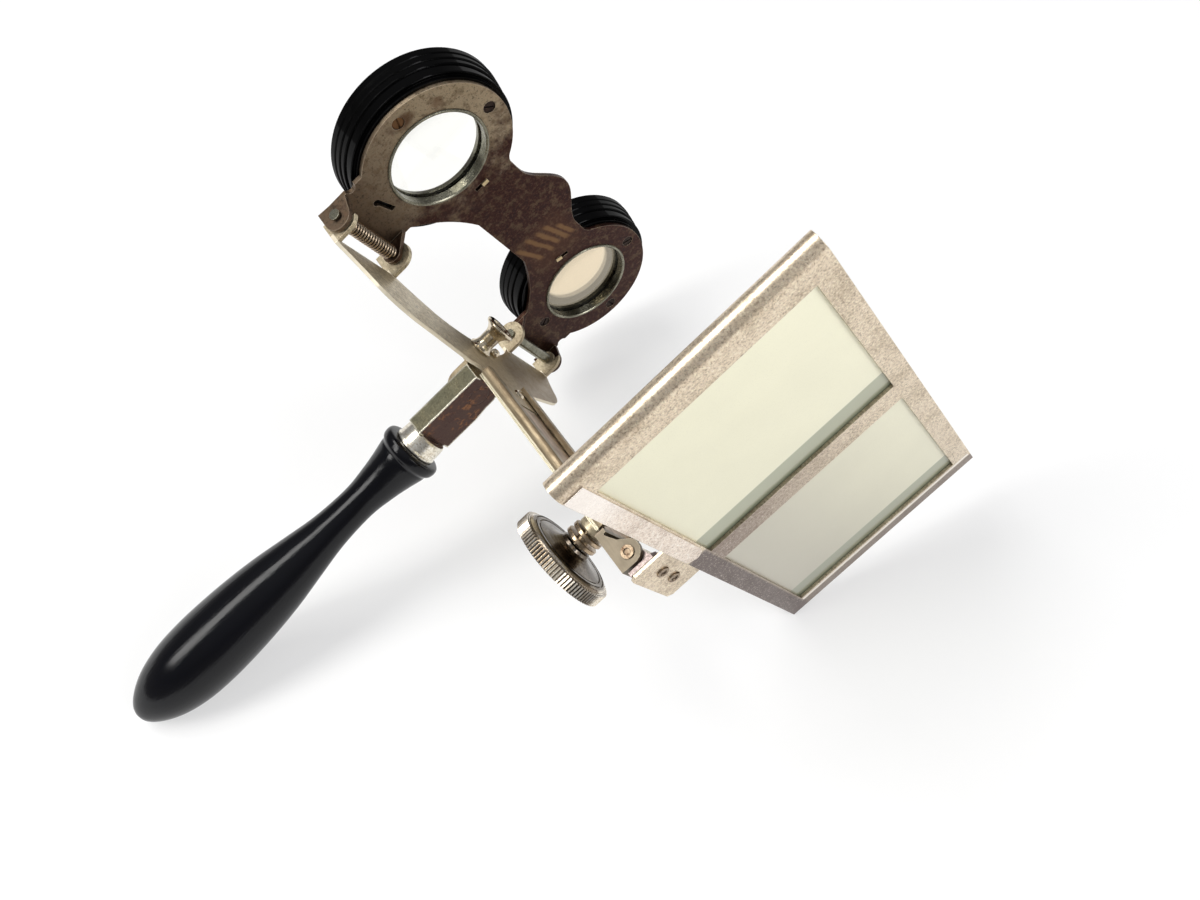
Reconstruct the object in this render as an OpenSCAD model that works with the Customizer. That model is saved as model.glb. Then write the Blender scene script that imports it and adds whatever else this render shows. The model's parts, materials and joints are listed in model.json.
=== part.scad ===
// Folding hand stereoscope, opened for use and laid on a table.
// Everything is drawn as the viewer holds it: X to the viewer's right, Y along the line of sight
// from the lenses to the slide, Z up from the handle; the middle of the two lens centres is zero.
// The module lay() then lays the whole object down on its left side, the way it rests on a table.

/* [Lens board] */
// distance between the two lens centres
lens_spacing = 63; // [61:0.5:64]
// radius of the stamped ring round each lens
ring_r = 16.4; // [16:0.1:16.8]
// thickness of the stamped lens board
board_t = 1.0; // [0.9:0.05:1.05]
// radius of the opening in each ring
hole_r = 11.0; // [11:0.1:11.3]

/* [Eyecups] */
// depth of each eyecup behind the lens board
cup_depth = 9.4; // [9:0.1:12]

/* [Slide frame] */
// width of the slide frame, over the rolled end
frame_w = 114; // [112:0.5:118]
// height of the slide frame
frame_h = 52; // [51:0.5:53]
// height of the sheet left below and above each window
window_margin = 4.3; // [4:0.1:6]

/* [Handle] */
// length of the turned grip
grip_len = 89; // [80:1:100]
// largest radius of the turned grip
grip_r = 8.7; // [8:0.1:9]

/* [Hinge spring] */
// turns of the coil spring at the right lens hinge
spring_turns = 16; // [12:1:16]

/* [Hidden] */

steel = [0.46, 0.43, 0.40];
nickel = [0.72, 0.68, 0.62];
bright = [0.80, 0.78, 0.74];
black = [0.03, 0.03, 0.035];
clear = [0.85, 0.92, 0.90, 0.35];
frosted = [0.86, 0.87, 0.76];

// lens hinge: the pin runs along X, a little in front of the board
pin_y = 2.2;
pin_z = -20.4;
pin_r = 0.6;
run_gap = 0.06;
tab_in = lens_spacing / 2 - 7.5;
tab_out = lens_spacing / 2 + 11;
sheet = 1.0;
ear_gap = 0.3;

// base plate and rail levels
plate_top = -23.4;
plate_t = 0.7;
plate_bot = plate_top - plate_t;
rail_floor_top = plate_bot - 0.1;
rail_bot = rail_floor_top - plate_t;
rail_top = -22.2;
rail_half = 8.0;
rail_in = 7.0;
rail_lip = 1.0;
lip_under = -23.2;
rail_start = 26.2;
rail_end = 70.0;
rivet_y = 28.6;
rail_rivet_x = 3.6;

// focusing gear
pinion_y = 65.4;
pitch_r = 2.5;
pinion_teeth = 12;
tooth_pitch = 2 * PI * pitch_r / pinion_teeth;
addendum = 0.35;
dedendum = 0.45;
travel = 12;
shaft_r = 1.4;
strip_half = 6.85;
strip_top = plate_top - 0.1;
strip_bot = plate_bot;
pinion_top = strip_top - 0.05;
strip_start = 33.8;

// slide frame hinge and sheet
hinge_y = 77.5;
hinge_z = -22.5;
hinge_r = 0.9;
frame_t = 4.4;
// how far the frame's back sheet stands beyond its hinge
frame_reach = 8.9;
frame_back = hinge_y + frame_reach;
frame_front = frame_back - frame_t;
frame_sheet = 0.7;
frame_bot = -15.5;
frame_top = frame_bot + frame_h;
frame_x1 = frame_w / 2;
roll_r = frame_t / 2;
window_bot = frame_bot + window_margin;
window_h = frame_h - 2 * window_margin;
bar_half = 3.3;
margin_right = 6.8;
margin_left = 5.2;

// handle
shank_y = 22.2;
shank_half = 5.5;
shank_t = 4.2;
shank_top = -26.2;
shank_bot = -43.4;
pivot_z = -29.7;
pivot_r = 1.5;
grip_top = -47.6;

// turned grip: collar, groove, slim neck and a long belly; radius and how far down each point lies
grip_shape = [[5.3, 0], [6.5, 0.2], [6.9, 1.0], [6.75, 2.2], [6.1, 3.1], [6.0, 4.0], [5.3, 7.2], [4.6, 11.2],
    [3.95, 17.5], [4.4, 26.5], [5.7, 35], [7.1, 43.6], [8.1, 52.5], [8.62, 61],
    [8.7, 67.4], [8.35, 73.5], [7.2, 79.4], [5.3, 84.2], [2.9, 87.6], [0, 89]];
grip_outline = [for (p = smooth(grip_shape, 2))
    [max(0, p[0] * grip_r / 8.7), grip_top - p[1] * grip_len / 89]];

// how the object lies: its frame's lower left corner and the grip touch the table
lie_roll = min([for (p = grip_outline) atan2(frame_x1 - p[0], frame_bot - p[1])]);
// moves the laid-down object so that its bounding box stands centred on the origin
lap_back = frame_back + 0.27;
far_x = max([for (p = grip_outline) p[0] * sin(lie_roll) - p[1] * cos(lie_roll)]);
near_x = -frame_x1 * sin(lie_roll) - frame_top * cos(lie_roll);
low_z = frame_bot * sin(lie_roll) - frame_x1 * cos(lie_roll);
row_shift = [-(near_x + far_x) / 2, (cup_depth - lap_back) / 2, -low_z];
echo(lie_roll = lie_roll, row_shift = row_shift);

fine = 96;

module lay() {
    translate(row_shift)
        rotate([0, lie_roll - 90, 0])
            children();
}

// point lists for smooth outlines
function bend(a, b, c, n = 6) =
    [for (i = [1 : n]) let (t = i / n) (1 - t) * (1 - t) * a + 2 * t * (1 - t) * b + t * t * c];
function flip(p) = [for (i = [len(p) - 1 : -1 : 0]) [-p[i][0], p[i][1]]];
// one point of a smooth curve through the points p, at position t counted in points
function on_curve(p, t) =
    let (n = len(p) - 1, i = min(floor(t), n - 1), u = t - i,
        a = p[max(i - 1, 0)], b = p[i], c = p[i + 1], d = p[min(i + 2, n)])
    0.5 * (2 * b + (c - a) * u + (2 * a - 5 * b + 4 * c - d) * u * u + (3 * b - a - 3 * c + d) * u * u * u);
function smooth(p, n = 3) =
    concat([for (i = [0 : len(p) - 2]) for (k = [0 : n - 1]) on_curve(p, i + k / n)], [p[len(p) - 1]]);

// a flat sheet drawn in X and Z, from y0 towards the viewer by t
module sheet_xz(y0, t) {
    translate([0, y0, 0])
        rotate([90, 0, 0])
            linear_extrude(t)
                children();
}
// a cheek drawn in Y and Z, from x0 to the right by t
module cheek_yz(x0, t) {
    translate([x0, 0, 0])
        rotate([90, 0, 90])
            linear_extrude(t)
                children();
}
// a rod along X
module rod_x(x0, x1, r, n = 32) {
    translate([x0, 0, 0])
        rotate([0, 90, 0])
            cylinder(r = r, h = x1 - x0, $fn = n);
}
// a turned body whose axis runs along Y; heights count towards the eye
module turned_y(x, y = 0) {
    translate([x, y, 0])
        rotate([90, 0, 0])
            rotate_extrude($fn = fine)
                children();
}

// Lens board

cup_hole_r = 0.85;
screw_r = 1.2;
screw_at = 13.7;
right_screws = [0, 90];
left_screws = [90, 180, 270];
web_top = 8.9;
web_bot = -15.4;
bump_half = 12.5;
bump_rise = 5;
arch_r = 32.5;
arch_top = -3.9;
fillet_r = 3;

module ring_fillet() {
    cz = web_top + fillet_r;
    far = ring_r + fillet_r;
    cx = lens_spacing / 2 - sqrt(far * far - cz * cz);
    touch = [lens_spacing / 2, 0] + ring_r / far * [cx - lens_spacing / 2, cz];
    difference() {
        polygon([[cx, web_top - 0.2], [cx, cz], touch, touch + [1.2, -2]]);
        translate([cx, cz])
            circle(r = fillet_r, $fn = 48);
    }
}

// the rounded hump halfway between the rings
module bump() {
    n = 24;
    polygon(concat(
        [[-bump_half, 0], [bump_half, 0]],
        [for (i = [0 : n]) let (x = bump_half * (1 - 2 * i / n))
            [x, web_top + bump_rise * (0.5 + 0.5 * cos(180 * x / bump_half))]]));
}

module board_outline() {
    difference() {
        union() {
            for (s = [-1, 1])
                translate([s * lens_spacing / 2, 0])
                    circle(r = ring_r, $fn = fine);
            translate([-lens_spacing / 2, web_bot])
                square([lens_spacing, web_top - web_bot]);
            bump();
            for (s = [0, 1])
                mirror([s, 0])
                    ring_fillet();
            for (s = [0, 1])
                mirror([s, 0])
                    translate([tab_in - 0.1, pin_z + 0.1])
                        square([tab_out - tab_in + 0.1, 12]);
        }
        intersection() {
            translate([0, arch_top - arch_r])
                circle(r = arch_r, $fn = 2 * fine);
            translate([0.1 - tab_in, web_bot - 10])
                square([2 * tab_in - 0.2, 20]);
        }
        for (s = [-1, 1])
            translate([s * (tab_out + 0.3), -15.2])
                circle(r = 1.2, $fn = 24);
    }
}

// the pressed slot below the right lens
module lug_slot() {
    translate([lens_spacing / 2 + 1.5, -13.7])
        rotate(-12) {
            translate([-2.2, -0.55])
                square([4.6, 1.1]);
            translate([2.2, -0.2])
                circle(r = 0.75, $fn = 16);
        }
}

// a small lanced slot beside each ring, whose tongue stands out a little in front of the board
lance_len = 2.9;
lance_w = 0.9;
lance_rise = 0.35;
lance_z = 1.2;
tongue_len = 1.5;

module lance_place(side) {
    translate([side * (lens_spacing / 2 - screw_at), 0, lance_z])
        rotate([0, side < 0 ? 166 : 0, 0])
            children();
}

outer_ear_r = 2.9;
inner_ear_r = 2.0;
ear_top = -16.9;

module outer_ear() {
    difference() {
        union() {
            translate([pin_y, pin_z])
                circle(r = outer_ear_r, $fn = 48);
            polygon([[-board_t, ear_top], [0.4, ear_top],
                [pin_y + outer_ear_r * cos(65), pin_z + outer_ear_r * sin(65)],
                [pin_y, pin_z], [pin_y, pin_z - outer_ear_r],
                [-board_t - 0.3, pin_z - outer_ear_r], [-board_t, pin_z]]);
        }
        translate([pin_y, pin_z])
            circle(r = pin_r + run_gap, $fn = 32);
    }
}

module inner_ear() {
    difference() {
        union() {
            translate([pin_y, pin_z])
                circle(r = inner_ear_r, $fn = 48);
            polygon([[-board_t, -15.6], [0, -15.6],
                [pin_y + inner_ear_r * cos(30), pin_z + inner_ear_r * sin(30)],
                [pin_y, pin_z], [pin_y, pin_z - inner_ear_r], [-board_t, pin_z]]);
        }
        translate([pin_y, pin_z])
            circle(r = pin_r + run_gap, $fn = 32);
    }
}

module lens_board() {
    color(steel)
        lay()
            difference() {
                union() {
                    sheet_xz(0, board_t)
                        board_outline();
                    for (s = [0, 1])
                        mirror([s, 0, 0]) {
                            cheek_yz(tab_out - sheet, sheet)
                                outer_ear();
                            cheek_yz(tab_in, sheet)
                                inner_ear();
                        }
                    for (s = [-1, 1])
                        lance_place(s)
                            translate([-lance_w / 2, -0.1, lance_len / 2 + 0.4 - tongue_len])
                                cube([lance_w, lance_rise + 0.1, tongue_len]);
                }
                for (s = [-1, 1])
                    sheet_xz(1, 3)
                        translate([s * lens_spacing / 2, 0])
                            circle(r = hole_r, $fn = fine);
                for (s = [-1, 1])
                    lance_place(s)
                        translate([-lance_w / 2, -2, -lance_len / 2]) {
                            cube([lance_w, 3, lance_len + 0.4 - tongue_len]);
                            cube([lance_w, 1.9, lance_len]);
                        }
                sheet_xz(1, 3) {
                    screw_places(1, right_screws)
                        circle(r = screw_r + 0.12, $fn = 24);
                    screw_places(-1, left_screws)
                        circle(r = screw_r + 0.12, $fn = 24);
                    lug_slot();
                }
            }
}

module screw_places(side, angles) {
    for (a = angles)
        translate([side * lens_spacing / 2 + screw_at * cos(a), screw_at * sin(a)])
            children();
}

// one countersunk screw: head in the board, shank in the cup, with its driver slot
module cup_screw(turn) {
    rotate([90, 0, 0])
        difference() {
            union() {
                translate([0, 0, 0.12])
                    cylinder(r = screw_r, h = 0.86, $fn = 24);
                translate([0, 0, 0.9])
                    cylinder(r = 0.8, h = 1.9, $fn = 24);
            }
            rotate([0, 0, turn])
                translate([-screw_r, -0.17, 0])
                    cube([2 * screw_r, 0.34, 0.45]);
        }
}

module board_screws() {
    color(steel)
        lay() {
            for (a = right_screws)
                translate([lens_spacing / 2 + screw_at * cos(a), 0, screw_at * sin(a)])
                    cup_screw(a * 1.3 + 20);
            for (a = left_screws)
                translate([-lens_spacing / 2 + screw_at * cos(a), 0, screw_at * sin(a)])
                    cup_screw(a * 0.7 + 50);
        }
}

// Eyecups and lenses

cup_in_r = 10.9;
cup_brow_r = 17.2;
cup_dish_r = 13.8;
lens_r = 12.0;
lens_seat_r = 12.1;
seat_depth = 4.2;
cup_lip_r = 18.4;
cup_foot_r = cup_lip_r - 1.5;

// the cup's wall steps outwards from the board to the brow; where each step begins
cup_steps = [2.0, 4.3, 5.8, cup_depth - 2.1];
function step_r(k) = cup_lip_r - [0.8, 0.45, 0.2, 0][k];
function step_end(k) = k < 3 ? cup_steps[k + 1] : cup_depth - 0.45;

module eyecup_profile() {
    polygon(concat(
        [[lens_seat_r, board_t + 0.02], [cup_foot_r, board_t + 0.02], [cup_foot_r, cup_steps[0]]],
        [for (k = [0 : 3]) each [[step_r(k) - 0.15, cup_steps[k]],
            [step_r(k), cup_steps[k] + 0.15], [step_r(k), step_end(k)]]],
        [[cup_lip_r - 0.15, cup_depth - 0.15], [cup_lip_r - 0.5, cup_depth], [cup_brow_r, cup_depth]],
        bend([cup_brow_r, cup_depth], [cup_brow_r - 1.6, cup_depth - 0.4],
            [cup_dish_r, cup_depth - 2.3], 5),
        bend([cup_dish_r, cup_depth - 2.3], [cup_dish_r - 1.6, cup_depth - 3.9],
            [cup_in_r + 0.5, cup_depth - 4.1], 4),
        [[cup_in_r, cup_depth - 4.1], [cup_in_r, seat_depth], [lens_seat_r, seat_depth]]));
}

module eyecup(side, angles) {
    color(black)
        lay()
            difference() {
                turned_y(side * lens_spacing / 2)
                    eyecup_profile();
                for (a = angles)
                    translate([side * lens_spacing / 2 + screw_at * cos(a), -board_t + 0.1,
                        screw_at * sin(a)])
                        rotate([90, 0, 0])
                            cylinder(r = cup_hole_r, h = 2.1, $fn = 24);
            }
}
module eyecup_right() { eyecup(1, right_screws); }
module eyecup_left() { eyecup(-1, left_screws); }

// a lens: two shallow domes on a short cylindrical edge
lens_mid = 2.7;
lens_edge = 0.6;
lens_dome = 0.85;
function dome(s) =
    [for (i = [0 : 8]) let (r = lens_r * (s > 0 ? i : 8 - i) / 8)
        [r, lens_mid - s * (lens_edge + lens_dome * (1 - pow(r / lens_r, 2)))]];

module lens(side) {
    color(clear)
        lay()
            turned_y(side * lens_spacing / 2)
                polygon(concat(dome(1), dome(-1)));
}
module lens_right() { lens(1); }
module lens_left() { lens(-1); }

// the bright collar seen in the opening of the board
bezel_out = hole_r - 0.05;
bezel_in = bezel_out - 0.65;

module lens_bezel(side) {
    color(bright)
        lay()
            turned_y(side * lens_spacing / 2)
                polygon([[bezel_in, -0.1], [bezel_in + 0.2, -0.3], [bezel_out - 0.15, -0.3],
                    [bezel_out, -0.1], [bezel_out, 1.8], [bezel_in, 1.8]]);
}
module lens_bezel_right() { lens_bezel(1); }
module lens_bezel_left() { lens_bezel(-1); }

// the ring that holds the lens from the eye side
ring_out = cup_in_r - 0.05;
ring_in = ring_out - 0.85;

module lens_ring(side) {
    color(bright)
        lay()
            turned_y(side * lens_spacing / 2)
                polygon([[ring_in, 3.62], [ring_out, 3.62], [ring_out, 5.1], [ring_out - 0.35, 5.3],
                    [ring_in, 5.0]]);
}
module lens_ring_right() { lens_ring(1); }
module lens_ring_left() { lens_ring(-1); }

// Lens hinge

base_ear_in = tab_in - 0.1 - 0.4 - sheet;
base_ear_out = tab_out - sheet - ear_gap - sheet;
base_ear_r = 3.2;
// the outer ears are relieved where the folding lens board sweeps past
ear_relief_r = pin_y - ear_gap;

module lens_hinge_pin(side) {
    color(nickel)
        lay()
            mirror([side < 0 ? 1 : 0, 0, 0])
                translate([0, pin_y, pin_z]) {
                    rod_x(base_ear_in - 0.4, tab_out + 0.6, pin_r);
                    rod_x(base_ear_in - 0.6, base_ear_in - 0.05, 1.1);
                    rod_x(tab_out + ear_gap, tab_out + 0.8, 1.1);
                }
}
module lens_hinge_pin_right() { lens_hinge_pin(1); }
module lens_hinge_pin_left() { lens_hinge_pin(-1); }

// coil spring round the right pin: one unbroken tube with straight ends
coil_r = 1.12;
wire_r = 0.225;
coil_x0 = tab_in + 1.9;
coil_x1 = tab_out - 3.1;
rings_per_turn = 8;
wire_sides = 6;
coil_pitch = (coil_x1 - coil_x0) / spring_turns;
coil_rings = spring_turns * rings_per_turn;
coil_leg = 2 * wire_r;
coil_path = concat(
    [[coil_x0, coil_r, -coil_leg]],
    [for (i = [0 : coil_rings]) let (a = 360 * i / rings_per_turn)
        [coil_x0 + coil_pitch * i / rings_per_turn, coil_r * cos(a), coil_r * sin(a)]],
    [[coil_x1, coil_r, coil_leg]]);
function ring_at(path, i) =
    let (n = len(path) - 1, d = path[min(i + 1, n)] - path[max(i - 1, 0)], t = d / norm(d),
        out = [0, path[i][1], path[i][2]], u0 = out - (out * t) * t, u = u0 / norm(u0),
        v = cross(t, u))
    [for (k = [0 : wire_sides - 1]) let (a = 360 * k / wire_sides)
        path[i] + wire_r * (cos(a) * u + sin(a) * v)];
coil_points = [for (i = [0 : len(coil_path) - 1]) each ring_at(coil_path, i)];
coil_last = (len(coil_path) - 1) * wire_sides;
coil_faces = concat(
    [for (i = [0 : len(coil_path) - 2]) for (k = [0 : wire_sides - 1])
        let (k2 = (k + 1) % wire_sides, a = i * wire_sides + k, b = i * wire_sides + k2)
        each [[a, b, b + wire_sides], [a, b + wire_sides, a + wire_sides]]],
    [for (k = [1 : wire_sides - 2]) [0, k + 1, k]],
    [for (k = [1 : wire_sides - 2]) [coil_last, coil_last + k, coil_last + k + 1]]);
// least space between one turn and the next, from the points of one ring and those a turn on
coil_gap = min([for (s = [0 : rings_per_turn]) for (i = [0 : wire_sides - 1]) for (j = [0 : wire_sides - 1])
    norm(coil_points[(1 + 2 * rings_per_turn) * wire_sides + i]
        - coil_points[(1 + 3 * rings_per_turn - 4 + s) * wire_sides + j])]);
echo(coil_gap = coil_gap);

module hinge_spring() {
    color(steel)
        lay()
            translate([0, pin_y, pin_z])
                polyhedron(points = coil_points, faces = coil_faces, convexity = 10);
}

module hinge_sleeve() {
    color(nickel)
        lay()
            translate([0, pin_y, pin_z])
                difference() {
                    rod_x(-coil_x1, -coil_x0, 1.3);
                    rod_x(-coil_x1 - 1, -coil_x0 + 1, pin_r + 0.08);
                }
}

// Base plate, rail and rivets

post_y = 15.6;
stop_x = -6.4;
stop_y = 14.6;
lobe_x = tab_out - 15;
half_plate = concat(
    [[0, 13.0]],
    bend([0, 13.0], [8, 13.2], [12.5, 11.4]),
    bend([12.5, 11.4], [17.5, 8.8], [base_ear_in, 4.4], 5),
    [[base_ear_out + sheet, 4.4], [base_ear_out + sheet, 5.4]],
    bend([base_ear_out + sheet, 5.4], [tab_out - 4, 9.0], [tab_out - 6.5, 13.4]),
    bend([tab_out - 6.5, 13.4], [tab_out - 8.7, 18.6], [lobe_x, 20.9]),
    bend([lobe_x, 20.9], [20, 22.9], [13.2, 25.0], 5),
    bend([13.2, 25.0], [11.6, 25.6], [10.4, 25.1], 4),
    [[strip_half, 25.5], [strip_half, strip_start - 0.6], [0, strip_start - 0.6]]);

module base_ear() {
    translate([pin_y, pin_z])
        circle(r = base_ear_r, $fn = 48);
    translate([pin_y - base_ear_r, plate_bot])
        square([2 * base_ear_r, pin_z - plate_bot]);
}

module relieved_ear() {
    translate([pin_y, pin_z])
        circle(r = ear_relief_r, $fn = 48);
    intersection() {
        base_ear();
        translate([pin_y, plate_bot]) {
            translate([1.5, 0])
                square([base_ear_r, 10]);
            translate([-ear_relief_r, 0])
                square([2 * base_ear_r, pin_z - plate_bot]);
        }
    }
}

module base_plate() {
    color(nickel)
        lay()
            difference() {
                union() {
                    translate([0, 0, plate_bot])
                        linear_extrude(plate_top - plate_bot)
                            polygon(concat(half_plate, flip(half_plate)));
                    for (s = [0, 1])
                        mirror([s, 0, 0])
                            for (ear = [0, 1])
                                cheek_yz(ear == 0 ? base_ear_in : base_ear_out, sheet)
                                    difference() {
                                        if (ear == 0) base_ear();
                                        else relieved_ear();
                                        translate([pin_y, pin_z])
                                            circle(r = pin_r + 0.01, $fn = 32);
                                    }
                }
                translate([0, post_y, plate_bot - 1])
                    cylinder(r = 1.6, h = 4, $fn = 32);
                for (x = [-rail_rivet_x, rail_rivet_x])
                    translate([x, rivet_y, plate_bot - 1])
                        cylinder(r = 0.9, h = 4, $fn = 24);
                translate([stop_x, stop_y, plate_bot - 1])
                    cylinder(r = 0.7, h = 4, $fn = 24);
            }
}

// cross-section of the rail: a channel whose lips turn in over the carriage; each side swells out
// a little, with a groove along its foot
swell = 0.25;
foot_h = 0.7;
groove_z0 = rail_bot + 0.22;
groove_z1 = rail_bot + 0.48;

rail_side = concat(
    [[rail_half, rail_bot], [rail_half, groove_z0], [rail_half - 0.3, groove_z0],
        [rail_half - 0.3, groove_z1], [rail_half, groove_z1], [rail_half, rail_bot + foot_h]],
    bend([rail_half, rail_bot + foot_h], [rail_half + swell * 2, (rail_bot + rail_top) / 2 + 0.4],
        [rail_half - 0.1, rail_top], 8));

module rail_section() {
    difference() {
        polygon(concat(rail_side, flip(rail_side)));
        translate([-rail_in, rail_floor_top])
            square([2 * rail_in, lip_under - rail_floor_top]);
        translate([rail_lip - rail_in - 0.2, lip_under - 0.5])
            square([2 * (rail_in - rail_lip + 0.2), 3]);
    }
}

module rail() {
    color(nickel)
        lay()
            difference() {
                translate([0, rail_end, 0])
                    rotate([90, 0, 0])
                        linear_extrude(rail_end - rail_start)
                            rail_section();
                translate([0, pinion_y, rail_bot - 1])
                    cylinder(r = shaft_r + run_gap, h = 3, $fn = 48);
                for (x = [-rail_rivet_x, rail_rivet_x])
                    translate([x, rivet_y, rail_bot - 1])
                        cylinder(r = 0.9, h = 4, $fn = 24);
            }
}

module rail_rivets() {
    color(bright)
        lay()
            for (x = [-rail_rivet_x, rail_rivet_x])
                translate([x, rivet_y, 0]) {
                    translate([0, 0, rail_bot - 0.35])
                        cylinder(r = 1.5, h = 0.33, $fn = 24);
                    translate([0, 0, rail_bot - 0.1])
                        cylinder(r = 0.88, h = plate_top - rail_bot + 0.2, $fn = 24);
                    translate([0, 0, plate_top + 0.02])
                        cylinder(r1 = 1.5, r2 = 1.0, h = 0.45, $fn = 24);
                }
}

module stop_rivet() {
    color(bright)
        lay()
            translate([stop_x, stop_y, 0]) {
                translate([0, 0, plate_bot - 0.3])
                    cylinder(r = 0.68, h = plate_top - plate_bot + 0.5, $fn = 24);
                translate([0, 0, plate_top + 0.02])
                    rotate_extrude($fn = 32)
                        polygon([[0, 0], [0.9, 0], [1.15, 0.5], [1.1, 1.0], [0.7, 1.45], [0, 1.6]]);
            }
}

// Handle catch: a spool-shaped post that is pulled up against its stop

module catch_post() {
    color(bright)
        lay()
            translate([0, post_y, 0])
                rotate_extrude($fn = 48)
                    polygon(concat(
                        [[0, -27.3], [1.0, -27.3], [1.0, -26.3], [1.5, -26.2], [1.5, -23.3],
                            [2.6, -23.3], [2.6, -22.9]],
                        bend([2.6, -22.9], [1.85, -22.4], [1.85, -21.2], 5),
                        bend([1.85, -19.9], [1.9, -18.4], [3.3, -17.6], 5),
                        [[3.45, -17.3], [3.45, -17.0], [3.1, -16.8], [2.2, -16.8], [2.0, -17.1],
                            [0, -17.2]]));
}

module catch_nut() {
    color(nickel)
        lay()
            translate([0, post_y, -27.1])
                difference() {
                    cylinder(r = 1.65, h = 0.8, $fn = 6);
                    translate([0, 0, -1])
                        cylinder(r = 1.02, h = 3, $fn = 24);
                }
}

// Handle pivot and shank

lug_half = 3.9;
lug_y = 18.9;
foot_y = 11.4;

module pivot_lug() {
    color(nickel)
        lay()
            difference() {
                union() {
                    sheet_xz(lug_y, sheet)
                        difference() {
                            union() {
                                translate([0, pivot_z])
                                    circle(r = lug_half, $fn = 48);
                                translate([-lug_half, pivot_z])
                                    square([2 * lug_half, plate_bot - 0.05 - pivot_z]);
                            }
                            translate([0, pivot_z])
                                circle(r = pivot_r + 0.01, $fn = 48);
                        }
                    translate([-lug_half, foot_y, plate_bot - 1.05])
                        cube([2 * lug_half, lug_y - foot_y, 1.0]);
                }
                translate([0, post_y, plate_bot - 2])
                    cylinder(r = 2.1, h = 3, $fn = 32);
            }
}

// riveted over behind the lug, its flat head let in flush with the shank's face
head_r = 2.4;
head_t = 0.5;
shank_face = shank_y + shank_t / 2;

module pivot_pin() {
    color(bright)
        lay()
            translate([0, 0, pivot_z])
                rotate([-90, 0, 0]) {
                    translate([0, 0, lug_y - sheet - 0.6])
                        cylinder(r = 2.0, h = 0.58, $fn = 32);
                    translate([0, 0, lug_y - sheet - 0.1])
                        cylinder(r = pivot_r, h = shank_face - lug_y + sheet, $fn = 48);
                    translate([0, 0, shank_face - head_t])
                        cylinder(r = head_r, h = head_t, $fn = 48);
                }
}

module pivot_washer() {
    color(nickel)
        lay()
            translate([0, lug_y + 0.05, pivot_z])
                rotate([-90, 0, 0])
                    difference() {
                        cylinder(r = 3.2, h = 0.9, $fn = 48);
                        translate([0, 0, -1])
                            cylinder(r = pivot_r + 0.02, h = 3, $fn = 48);
                    }
}

// the flat shank: its right top corner stays square and stops the handle upright,
// the left one is rounded so that the handle can swing to the left
shank_round = 4.9;
tang_r = 3.0;
tang_len = 9;
cap_z = grip_top + 0.1;
ferrule_r = 4.9;

module shank_outline() {
    left_top = -sqrt(shank_round * shank_round - pow(shank_top - pivot_z, 2));
    difference() {
        union() {
            polygon([[-shank_half, shank_bot], [shank_half, shank_bot], [shank_half, shank_top],
                [left_top, shank_top], [0, pivot_z], [-shank_round, pivot_z],
                [-shank_round, pivot_z - 1.4], [-shank_half, pivot_z - 5]]);
            intersection() {
                translate([0, pivot_z])
                    circle(r = shank_round, $fn = 64);
                translate([-shank_round - 1, pivot_z - 0.1])
                    square([shank_round + 1, shank_top - pivot_z + 0.1]);
            }
        }
        translate([0, pivot_z])
            circle(r = pivot_r + run_gap, $fn = 48);
    }
}

module handle_shank() {
    color(bright)
        lay() {
            difference() {
                sheet_xz(shank_face, shank_t)
                    shank_outline();
                sheet_xz(shank_face + 1, head_t + run_gap + 1)
                    translate([0, pivot_z])
                        circle(r = head_r + run_gap, $fn = 48);
            }
            translate([0, shank_y, shank_bot - tang_len])
                cylinder(r = tang_r, h = tang_len + 0.05, $fn = 48);
        }
}

module handle_ferrule() {
    color(bright)
        lay()
            translate([0, shank_y, 0])
                rotate_extrude($fn = 64)
                    polygon([[tang_r + 0.02, shank_bot - 0.02], [ferrule_r - 0.6, shank_bot - 0.02],
                        [ferrule_r - 0.3, shank_bot - 0.4], [ferrule_r - 0.15, cap_z + 0.7],
                        [ferrule_r, cap_z + 0.4], [ferrule_r, cap_z], [tang_r + 0.02, cap_z]]);
}

module handle_grip() {
    color(black)
        lay()
            translate([0, shank_y, 0])
                difference() {
                    rotate_extrude($fn = 72)
                        polygon(concat(grip_outline, [[0, grip_top]]));
                    translate([0, 0, shank_bot - tang_len - 0.1])
                        cylinder(r = tang_r + 0.02, h = tang_len, $fn = 48);
                }
}

// Focusing: carriage with its rack, pinion, washers and knob

rack_back = pitch_r + dedendum;
slot_y0 = pinion_y - travel - 3.6;
slot_y1 = pinion_y + 3.6;
cheek_in = 7.1;
cheek_t = 1.0;
carriage_ear_r = 2.6;
// behind the rail the carriage steps down below the rail's floor
step_y = rail_end + 0.5;
carriage_bot = -25.7;
carriage_end = hinge_y + 2.5;

module rack_tooth() {
    polygon([[rack_back + 0.2, -0.36], [rack_back + 0.2, 0.36], [rack_back, 0.33],
        [pitch_r - addendum, 0.14], [pitch_r - addendum, -0.14], [rack_back, -0.33]]);
}

module carriage_ear() {
    translate([hinge_y, hinge_z])
        circle(r = carriage_ear_r, $fn = 48);
    polygon([[step_y, carriage_bot], [carriage_end, carriage_bot], [hinge_y + carriage_ear_r, hinge_z],
        [hinge_y, hinge_z + carriage_ear_r - 0.6], [hinge_y - 1.6, hinge_z + 2.0],
        [hinge_y - 3.4, hinge_z - 0.3], [step_y + 1.4, strip_bot], [step_y, strip_bot]]);
}

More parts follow.
